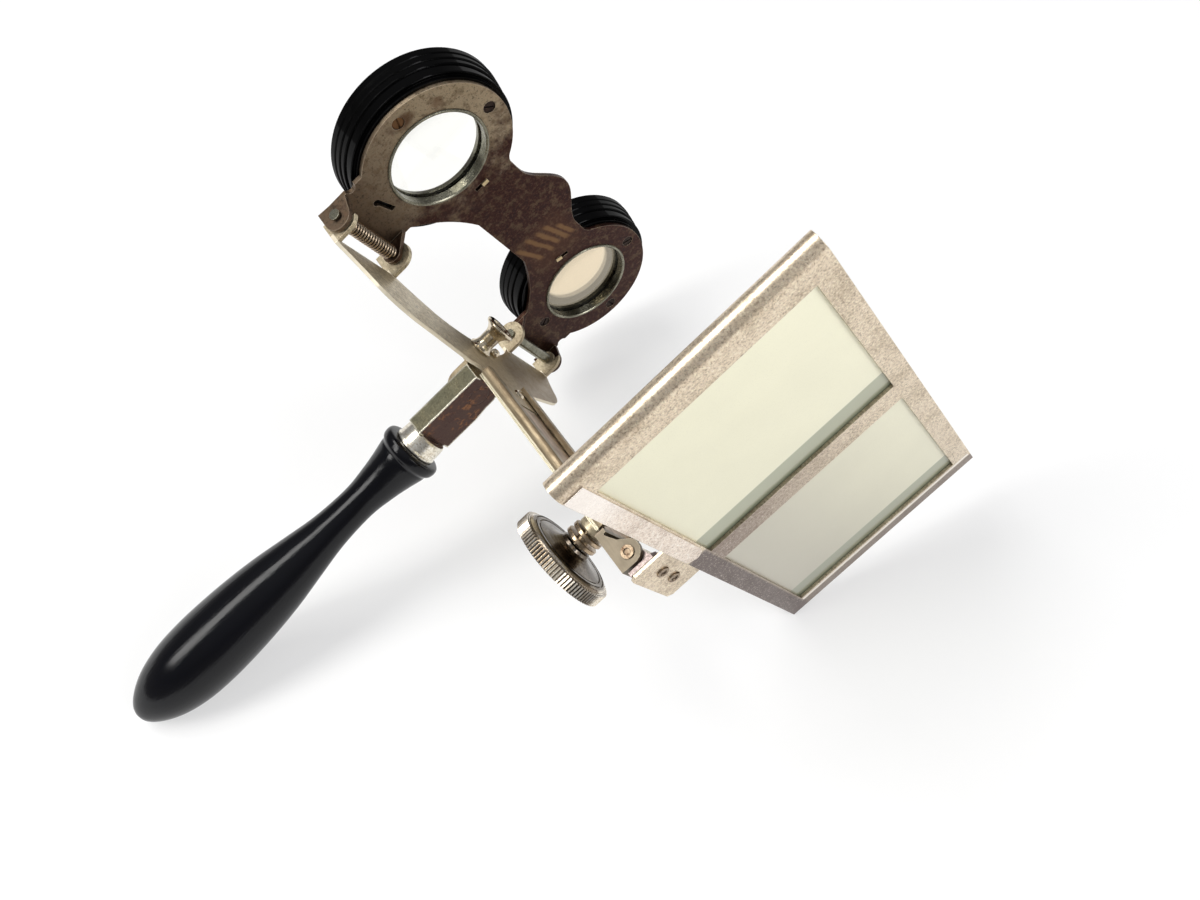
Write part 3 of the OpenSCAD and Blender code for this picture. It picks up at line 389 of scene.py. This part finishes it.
def knob_nickel():
    """The knob: a bright knurled rim with painted shade in its grooves, round a dark dished top
    with painted highlights on its edges.
    """
    knurls, knurl_foot, rim_top, dish_r = 90, 10.3, -34.3, 10.2
    s = metal("knob_nickel", (0.97, 0.93, 0.86), (0.82, 0.76, 0.68), (0.10, 0.075, 0.05),
        roughness=(0.14, 0.28), blotch=0.25, grain=2.8, corner_shade=0.8, edge=0.0, rounding=0.0)
    flat = s.stretched(1, 1, 0, s.moved(0, KNOB_Y, 0))
    from_axis = s.length(flat)
    round_axis = s.math("ARCTAN2", s.axis("Y", flat), s.axis("X", flat))
    ridges = s.math("COSINE", s.times(round_axis, knurls))
    # painted shade in the grooves between the knurls
    s.over(s.times(s.span(ridges, 0.0, -0.8), s.span(from_axis, knurl_foot, knurl_foot + 0.3)),
        (0.15, 0.115, 0.08), 0.85)
    in_dish = s.times(s.span(s.axis("Z"), rim_top - 0.1, rim_top + 0.1),
        s.span(from_axis, dish_r - 0.1, dish_r - 0.7))
    s.over(s.times(in_dish, s.span(s.noise(0.35, 5, 0.6), 0.25, 0.6, 0.70, 0.95)),
        (0.25, 0.20, 0.155))
    # painted highlights on the edges inside the dish
    s.over(s.times(in_dish, s.edges(0.18)), (0.74, 0.68, 0.58), 0.8)
    return s


def shank_nickel():
    """The shank: greenish grey with painted highlights on its edges, its broad faces a painted dark
    red-brown reflection, streaked with rust.
    """
    s = metal("shank_nickel", (0.64, 0.62, 0.51), (0.55, 0.52, 0.42), (0.26, 0.22, 0.16),
        roughness=(0.16, 0.32), blotch=0.25, grain=2.6, corner_shade=0.5, edge=0.0, rounding=0.2)
    off_middle = s.math("ABSOLUTE", s.math("SUBTRACT", s.axis("Y"), SHANK_Y))
    on_face = s.span(off_middle, SHANK_HALF_T - 0.15, SHANK_HALF_T - 0.02)
    # painted reflection: the broad faces dark red-brown
    s.over(on_face, (0.235, 0.135, 0.13), 0.94)
    rust = s.times(s.span(s.noise(0.50, 5, 0.7), 0.50, 0.62),
        s.span(s.noise(0.16, 2, 0.5, s.moved(3, 0, 6)), 0.40, 0.60))
    s.over(s.times(rust, on_face), (0.52, 0.35, 0.22), 0.8)
    beside = s.span(s.math("ABSOLUTE", s.axis("X")), 3.6, 4.4)
    # painted highlight along the edges beside the broad faces
    s.over(s.times(s.edges(0.7, 0.004, 0.07), beside), (1.0, 0.98, 0.90), 0.95)
    return s


def frame_nickel():
    """The slide frame: nickel silver, finely speckled, duller along the mullion and the left part
    of the lower margin, with a painted dark line and a painted highlight down the left margin, and
    painted shade, dark greenish, between its sheets, where the glass slides in."""
    s = metal("frame_nickel", (0.89, 0.82, 0.72), (0.77, 0.70, 0.60), (0.46, 0.38, 0.32),
        roughness=(0.26, 0.42), blotch=0.16, grain=2.0, pits=0.5, edge=0.7, cloud=0.8,
        metallic=0.85)
    s.over(s.within(0.6, X=(-PAST, LAP_END), Z=(FRAME_BOT - 0.5, WINDOW_BOT)),
        (0.31, 0.255, 0.26), 0.9)
    mullion = s.within(0.3, X=(-MULLION_HALF, MULLION_HALF), Z=(WINDOW_BOT, FRAME_TOP - 2.5))
    s.over(s.times(mullion, s.span(s.axis("Z"), 30, -12)), (0.42, 0.35, 0.34), 0.72)
    specks = s.noise(2.4, 4, 0.7, s.moved(3, 9, 1))
    s.over(s.span(specks, 0.54, 0.62), (0.34, 0.28, 0.26), 0.4)
    s.over(s.span(specks, 0.44, 0.36), (0.92, 0.87, 0.82), 0.4)
    # a painted dark line and a painted highlight down the left margin, as on a rolled edge
    on_back = (FRAME_BACK - 0.9, PAST)
    s.over(s.within(0.1, X=(-PAST, 3.4 - FRAME_HALF), Y=on_back), (0.42, 0.36, 0.34), 0.8)
    s.over(s.within(0.1, X=(3.6 - FRAME_HALF, 4.6 - FRAME_HALF), Y=on_back,
        Z=(WINDOW_BOT, FRAME_TOP - 0.5)), (0.98, 0.95, 0.91), 0.9)
    # painted shade, dark greenish, inside between the sheets
    s.over(s.within(0.02, X=(-PAST, FRAME_HALF - 0.8), Y=(FRAME_FRONT + 0.75, FRAME_BACK - 0.75),
        Z=(FRAME_BOT + 0.3, FRAME_TOP - 0.3)), (0.42, 0.42, 0.36), 0.9)
    return s


def lap_nickel():
    """The lap: brighter than the frame, with a painted highlight at its right end."""
    s = metal("lap_nickel", (0.94, 0.88, 0.82), (0.74, 0.66, 0.60), (0.44, 0.36, 0.32),
        roughness=(0.24, 0.4), blotch=0.2, grain=2.6, pits=0.6, edge=0.8, cloud=0.5)
    # painted highlight at the right end, by the roll
    s.over(s.within(7.0, X=(42, PAST)), (1.0, 0.975, 0.95), 0.75)
    return s


def screw_steel():
    """The eyecup screws: dark with rust, paler at the outermost one."""
    s = metal("rusty_screws", (0.20, 0.14, 0.11), (0.13, 0.09, 0.07), (0.04, 0.03, 0.02),
        roughness=(0.4, 0.6), blotch=0.5, edge=0.3, corner_shade=0.9, metallic=0.8)
    s.over(s.spot(LENS_X + SCREW_REACH, 0, 0, 3.0), (0.44, 0.31, 0.19), 0.8)
    return s


def black(name, tint, polish, gloss, along, depth=0.03, rounding=0.0):
    """Black turned pieces: the gloss is a thin polish over a matt black ground. Along squeezes the
    turning marks along X, Y and Z."""
    s = Surface(name, Coat_Weight=polish, Coat_Roughness=gloss, Coat_IOR=1.4,
        Specular_IOR_Level=0.0)
    ink = s.noise(0.12, 5, 0.6)
    s.colour(s.mix(ink, linear(tint), linear(tuple(v * 0.5 for v in tint))))
    s.roughness(ink, 0.3, 0.7, 0.35, 0.6)
    s.bump(s.noise(0.7, 4, 0.6, s.stretched(*along)), depth, 0.5, rounding)
    bumped = s.shader.inputs["Normal"].links[0].from_socket
    s.tree.links.new(bumped, s.shader.inputs["Coat Normal"])
    return s


def lens_glass():
    """The lenses: clear at the right, tinted cream at the left, with a grey band of painted shade
    round the clear part of the left one, where the cup's wall would show through the thick side."""
    # middle and radius of the left lens's clear part
    clear_x, clear_z, clear_r = -27.2, 0.7, 8.2
    s = Surface("clear_glass", Transmission_Weight=1.0, Roughness=0.0, IOR=1.5)
    leftward = s.span(s.axis("X"), 10, -10)
    s.colour(s.mix(leftward, linear((1.0, 1.0, 0.985)), linear((0.92, 0.855, 0.74))))
    from_clear = s.length(s.stretched(1, 0, 1, s.moved(clear_x, 0, clear_z)))
    # painted shade: a grey band round the left lens's clear part
    s.over(s.times(leftward, s.span(from_clear, clear_r, clear_r + 0.7)),
        (0.44, 0.42, 0.37), 0.88)
    return s


def ground_glass():
    """The ground glass: creamy, with painted shade towards the lower left and over the left pane,
    and darker greenish strips of painted shadow where the sleeve covers it along the left edge of
    each window."""
    strip = 6.3
    s = Surface("frosted_glass", Transmission_Weight=0.15, Roughness=0.35, IOR=1.5,
        Coat_Weight=0.6, Coat_Roughness=0.03)
    # painted shade growing towards the lower left
    fall = s.math("ADD", s.span(s.axis("X"), 52, -55, 0, 0.6, smooth=False),
        s.span(s.axis("Z"), 34, -14, 0, 0.4, smooth=False))
    cast = s.math("ADD", fall, s.span(s.noise(0.05, 4, 0.55), 0.3, 0.7, -0.1, 0.1))
    s.colour(s.mix(cast, linear((1.0, 0.985, 0.86)), linear((0.90, 0.885, 0.77))))
    # painted shade over the left pane, darkest at its bottom
    s.over(s.times(s.span(s.axis("X"), 0, -6), s.span(s.axis("Z"), 30, -10, 0.15, 0.8)),
        (0.66, 0.635, 0.58), 0.9)
    for edge in (MULLION_HALF, LEFT_MARGIN - FRAME_HALF):
        # painted shadow of the sleeve: a greenish strip and a darker line at the window's edge
        s.over(s.within(0.25, X=(edge - 1, edge + strip)), (0.50, 0.53, 0.42), 0.72)
        s.over(s.within(0.8, X=(edge - 1, edge + 1.2)), (0.30, 0.36, 0.28), 0.7)
    frost = s.noise(5.0, 4, 0.65)
    s.over(s.span(frost, 0.55, 0.70), (0.80, 0.78, 0.70), 0.25)
    s.roughness(frost, 0.3, 0.7, 0.30, 0.42)
    s.bump(frost, 0.01, 0.2)
    return s


# Which piece wears what

wear(board_steel(), "lens_board")
wear(screw_steel(), "board_screws")
wear(plate_nickel(), "base_plate", "pivot_lug", "shaft_bush", "catch_nut")
wear(rail_nickel(), "rail")
wear(carriage_nickel(), "carriage")
wear(knob_nickel(), "focus_knob")
wear(shank_nickel(), "handle_shank", "pivot_pin")
wear(frame_nickel(), "slide_frame")
wear(lap_nickel(), "frame_lap")
wear(ground_glass(), "ground_glass")
wear(metal("bracket_nickel", (0.64, 0.58, 0.56), (0.48, 0.43, 0.42), (0.20, 0.15, 0.12),
    roughness=(0.26, 0.44), blotch=0.25, grain=2.4, pits=0.5, edge=1.0, corner_shade=0.9,
    metallic=0.85), "slide_bracket")
wear(metal("bright_nickel", (0.86, 0.81, 0.72), (0.70, 0.65, 0.56), (0.26, 0.21, 0.15),
    roughness=(0.12, 0.26), blotch=0.3, grain=3.2, corner_shade=0.8, edge=0.9),
    "catch_post", "pivot_washer", "rail_rivets", "stop_rivet", "pinion", "pinion_screw",
    "slide_hinge_sleeve", "knob_screw")
wear(metal("washer_nickel", (0.70, 0.62, 0.52), (0.56, 0.49, 0.40), (0.20, 0.15, 0.10),
    roughness=(0.2, 0.34), blotch=0.3, grain=2.6, corner_shade=1.0, edge=1.0),
    "washer_upper", "washer_lower")
wear(metal("ferrule_nickel", (0.97, 0.95, 0.89), (0.86, 0.82, 0.74), (0.34, 0.27, 0.20),
    roughness=(0.18, 0.30), blotch=0.3, grain=2.6, corner_shade=0.9, edge=0.6), "handle_ferrule")
wear(metal("grey_nickel", (0.56, 0.55, 0.49), (0.45, 0.44, 0.38), (0.18, 0.16, 0.13),
    roughness=(0.2, 0.36), blotch=0.3, grain=3.0, corner_shade=0.9, edge=0.8),
    "hinge_sleeve", "lens_hinge_pin_right", "lens_hinge_pin_left", "lens_bezel_right",
    "lens_bezel_left")
wear(metal("old_rivets", (0.62, 0.55, 0.46), (0.40, 0.31, 0.24), (0.10, 0.07, 0.05),
    roughness=(0.25, 0.45), blotch=0.6, corner_shade=1.0, edge=0.9), "slide_rivets", "slide_hinge_pin")
wear(metal("lens_ring_metal", (0.46, 0.45, 0.39), (0.34, 0.33, 0.29), (0.12, 0.11, 0.10),
    roughness=(0.2, 0.4), blotch=0.3, corner_shade=0.9, edge=0.9), "lens_ring_right", "lens_ring_left")
wear(black("black_cup", (0.012, 0.012, 0.013), 0.24, 0.05, (1.0, 1.0, 1.0), rounding=0.12),
    "eyecup_right", "eyecup_left")
spring_steel = metal("spring_steel", (0.74, 0.67, 0.58), (0.56, 0.48, 0.40), (0.12, 0.08, 0.06),
    roughness=(0.18, 0.32), blotch=0.3, corner_shade=1.0, edge=0.0, rounding=0.0)
wear(spring_steel, "hinge_spring")
black_wood = black("black_wood", (0.010, 0.012, 0.036), 0.8, 0.13, (2.2, 2.2, 0.07), 0.08)
wear(black_wood, "handle_grip")
clear_glass = lens_glass()
wear(clear_glass, "lens_right", "lens_left")

# Pieces made here: smooth turned forms and the tightly wound coil


def add_object(name, data):
    obj = bpy.data.objects.new(name, data)
    bpy.context.scene.collection.objects.link(obj)
    return obj


def skin(name, rings, capped=False):
    """A smooth mesh drawn over rings of points. A ring of one point closes the end."""
    b = bmesh.new()
    loops = [[b.verts.new(point) for point in ring] for ring in rings]
    count = max(len(loop) for loop in loops)
    for low, high in zip(loops, loops[1:]):
        for i in range(count):
            j = (i + 1) % count
            corners = (low[i % len(low)], low[j % len(low)],
                high[j % len(high)], high[i % len(high)])
            b.faces.new(dict.fromkeys(corners))
    if capped:
        b.faces.new(loops[0])
        b.faces.new(loops[-1])
    bmesh.ops.recalc_face_normals(b, faces=b.faces)
    for face in b.faces:
        face.smooth = True
    mesh = bpy.data.meshes.new(name)
    b.to_mesh(mesh)
    b.free()
    return mesh


def stand_in(name, mesh, surface, body, node):
    """A piece of the mesh that rides on the body and is shown in place of the CAD node."""
    mesh.materials.append(surface.material)
    piece = add_object(name, mesh)
    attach(piece, body)
    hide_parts(node)


def turned(name, profile, centre, axis_to, steps=128):
    """A turned form. The profile holds radius and distance along the axis, in mm, and centre and
    axis_to are places of the viewer's frame: the distance counts from the one to the other."""
    start, end = at(*centre), at(*axis_to)
    along = (end - start).normalized()
    side = along.orthogonal().normalized()
    other = along.cross(side)
    rings = []
    for radius, distance in profile:
        hub = start + along * distance * MM
        if radius < 1e-6:
            rings.append([hub])
            continue
        rings.append([hub + (side * math.cos(a) + other * math.sin(a)) * radius * MM
            for a in (2 * math.pi * i / steps for i in range(steps))])
    return skin(name, rings)


def smooth_points(points, n):
    """A Catmull-Rom curve through the points, n steps between each two."""
    out = []
    for i in range(len(points) - 1):
        a, b = points[max(i - 1, 0)], points[i]
        c, d = points[i + 1], points[min(i + 2, len(points) - 1)]
        for k in range(n):
            u = k / n
            out.append([0.5 * (2 * q + (r - p) * u + (2 * p - 5 * q + 4 * r - w) * u * u
                + (3 * q - p - 3 * r + w) * u ** 3) for p, q, r, w in zip(a, b, c, d)])
    return out + [list(points[-1])]


# The grip: collar, groove, slim neck and a long belly, by radius and how far down each point lies
GRIP_SHAPE = ((5.3, 0), (6.5, 0.2), (6.9, 1.0), (6.75, 2.2), (6.1, 3.1), (6.0, 4.0), (5.3, 7.2),
    (4.6, 11.2), (3.95, 17.5), (4.4, 26.5), (5.7, 35), (7.1, 43.6), (8.07, 52.5), (8.58, 61),
    (8.66, 67.4), (8.31, 73.5), (7.17, 79.4), (5.27, 84.17), (2.87, 87.56), (0, 88.96))
# the grip's top is open inside this radius, where the ferrule covers it
GRIP_MOUTH_R = 4.6
grip_profile = [(GRIP_MOUTH_R, 0)] + [(max(0, r), d) for r, d in smooth_points(GRIP_SHAPE, 6)]
grip_mesh = turned("turned_grip", grip_profile, (0, SHANK_Y, GRIP_TOP), (0, SHANK_Y, GRIP_TOP - 1))
stand_in("turned_grip", grip_mesh, black_wood, "handle", "handle_grip")

# a lens: its radius, half its thickness at the edge, and how far each face bulges
LENS_R, LENS_EDGE, LENS_DOME, LENS_STEPS = 11.95, 0.6, 0.85, 24
lens_face = [(LENS_R * i / LENS_STEPS, LENS_EDGE + LENS_DOME * (1 - (i / LENS_STEPS) ** 2))
    for i in range(LENS_STEPS + 1)]
lens_profile = [(r, -d) for r, d in lens_face] + [(r, d) for r, d in reversed(lens_face)]
for side, word in ((1, "right"), (-1, "left")):
    x = side * LENS_X
    lens_mesh = turned("lens_glass_" + word, lens_profile, (x, LENS_Y, 0), (x, LENS_Y - 1, 0))
    stand_in("lens_glass_" + word, lens_mesh, clear_glass, "lens_board",
        "lens_" + word)

# the coil lies round the right lens hinge pin
COIL_FROM, COIL_TO, COIL_TURNS, COIL_R, WIRE_R = 25.45, 39.75, 18, 1.34, 0.27
STEPS_A_TURN, WIRE_STEPS = 24, 10
coil_steps = COIL_TURNS * STEPS_A_TURN
coil_rings = []
for i in range(coil_steps + 1):
    a = 2 * math.pi * i / STEPS_A_TURN
    x = COIL_FROM + (COIL_TO - COIL_FROM) * i / coil_steps
    ring = []
    for k in range(WIRE_STEPS):
        t = 2 * math.pi * k / WIRE_STEPS
        r = COIL_R + WIRE_R * math.cos(t)
        ring.append(at(x + WIRE_R * math.sin(t), PIN_Y + r * math.cos(a),
            PIN_Z + r * math.sin(a)))
    coil_rings.append(ring)
coil_mesh = skin("wound_coil", coil_rings, capped=True)
stand_in("wound_coil", coil_mesh, spring_steel, "base", "hinge_spring")

# Floor: pale and plain, with lengths in metres. Its own shading, with the shadow, counts for half
# near the object and fades to plain white away from it.
FLOOR_HALF, FADE_FROM, FADE_TO, LEAST_WHITE = 6.0, 0.10, 0.55, 0.5
floor_mesh = bpy.data.meshes.new("floor")
floor_mesh.from_pydata([(x * FLOOR_HALF, y * FLOOR_HALF, 0)
    for x, y in ((-1, -1), (1, -1), (1, 1), (-1, 1))], [], [(0, 1, 2, 3)])
floor = add_object("floor", floor_mesh)
paper = Surface("floor_paper", Roughness=0.8, Specular_IOR_Level=0.0,
    Base_Color=(0.93, 0.93, 0.925, 1))
away = paper.span(paper.length(paper.add("ShaderNodeTexCoord").outputs["Object"]),
    FADE_FROM, FADE_TO)
rays = paper.add("ShaderNodeLightPath").outputs
seen = paper.math("MAXIMUM", rays["Is Camera Ray"],
    paper.math("MAXIMUM", rays["Is Glossy Ray"], rays["Is Transmission Ray"]))
white = paper.add("ShaderNodeEmission", {"Color": (1, 1, 1, 1), "Strength": 1.0})
blend = paper.add("ShaderNodeMixShader", {
    0: paper.times(paper.math("MAXIMUM", away, LEAST_WHITE), seen),
    1: paper.shader.outputs[0], 2: white.outputs[0]})
paper.tree.links.new(blend.outputs[0], paper.output.inputs["Surface"])
floor_mesh.materials.append(paper.material)

# World: a soft room, lighter overhead, with white where the camera sees past the floor
SKY_DIP = 0.35
world = bpy.data.worlds.new("room")
bpy.context.scene.world = world
world.use_nodes = True
air = world.node_tree
air.nodes.clear()
height = add_node(air, "ShaderNodeSeparateXYZ", {
    0: add_node(air, "ShaderNodeTexCoord").outputs["Generated"]}).outputs["Z"]
sky = add_node(air, "ShaderNodeValToRGB", {"Fac": height})
horizon, overhead = sky.color_ramp.elements
horizon.color = (0.34, 0.33, 0.33, 1)
overhead.color = (0.52, 0.53, 0.55, 1)
sky.color_ramp.elements.new(SKY_DIP).color = (0.22, 0.22, 0.225, 1)
room = add_node(air, "ShaderNodeBackground", {"Color": sky.outputs[0], "Strength": 1.0})
plain = add_node(air, "ShaderNodeBackground", {"Color": (1, 1, 1, 1), "Strength": 1.0})
to_camera = add_node(air, "ShaderNodeLightPath").outputs["Is Camera Ray"]
choice = add_node(air, "ShaderNodeMixShader", {
    0: to_camera, 1: room.outputs[0], 2: plain.outputs[0]})
add_node(air, "ShaderNodeOutputWorld", {0: choice.outputs[0]})


def softbox(name, place, size, power, tint, length=None):
    """An area lamp at place, in metres, that shines on the object. A length makes it a long one,
    in line with the handle."""
    data = bpy.data.lights.new(name, "AREA")
    data.size = size
    if length:
        data.shape = "RECTANGLE"
        data.size, data.size_y = length, size
    data.energy = power
    data.color = tint
    back = (Vector(place) - LIT_POINT).normalized()
    side = (HANDLE_LINE - back * HANDLE_LINE.dot(back)).normalized()
    add_object(name, data).matrix_world = Matrix.LocRotScale(Vector(place),
        Matrix((side, back.cross(side), back)).transposed(), None)


HANDLE_LINE = -UP
LIT_POINT = Vector((0, 0, 0.05))
softbox("key", (0.14, -0.36, 0.85), 0.42, 2.8, (1.0, 0.99, 0.97))
softbox("side", (-0.42, 0.80, 0.60), 0.55, 5.2, (0.98, 0.98, 1.0))
# the long lamp makes the highlight along the grip and the frame's roll
softbox("strip", (0.59, -0.18, 0.74), 0.30, 4.8, (1.0, 0.99, 0.97), length=0.75)

# Camera at the photograph's viewpoint: its place in the viewer's frame in mm, its turn about the
# scene's X, Y and Z in degrees, and its lens in mm
CAMERA_AT = (205.470, 168.512, 22.281)
CAMERA_TURN = (30.9175, 6.2150, 147.0608)
SENSOR_WIDTH = 36.0
FOCAL_LENGTH = 36.50
camera = add_object("camera", bpy.data.cameras.new("camera"))
camera.matrix_world = Matrix.LocRotScale(at(*CAMERA_AT),
    Euler([math.radians(a) for a in CAMERA_TURN]), None)
camera.data.sensor_width = SENSOR_WIDTH
camera.data.lens = FOCAL_LENGTH
camera.data.clip_start = 0.005
camera.data.clip_end = 20
bpy.context.scene.camera = camera
bpy.context.scene.view_settings.view_transform = "Standard"
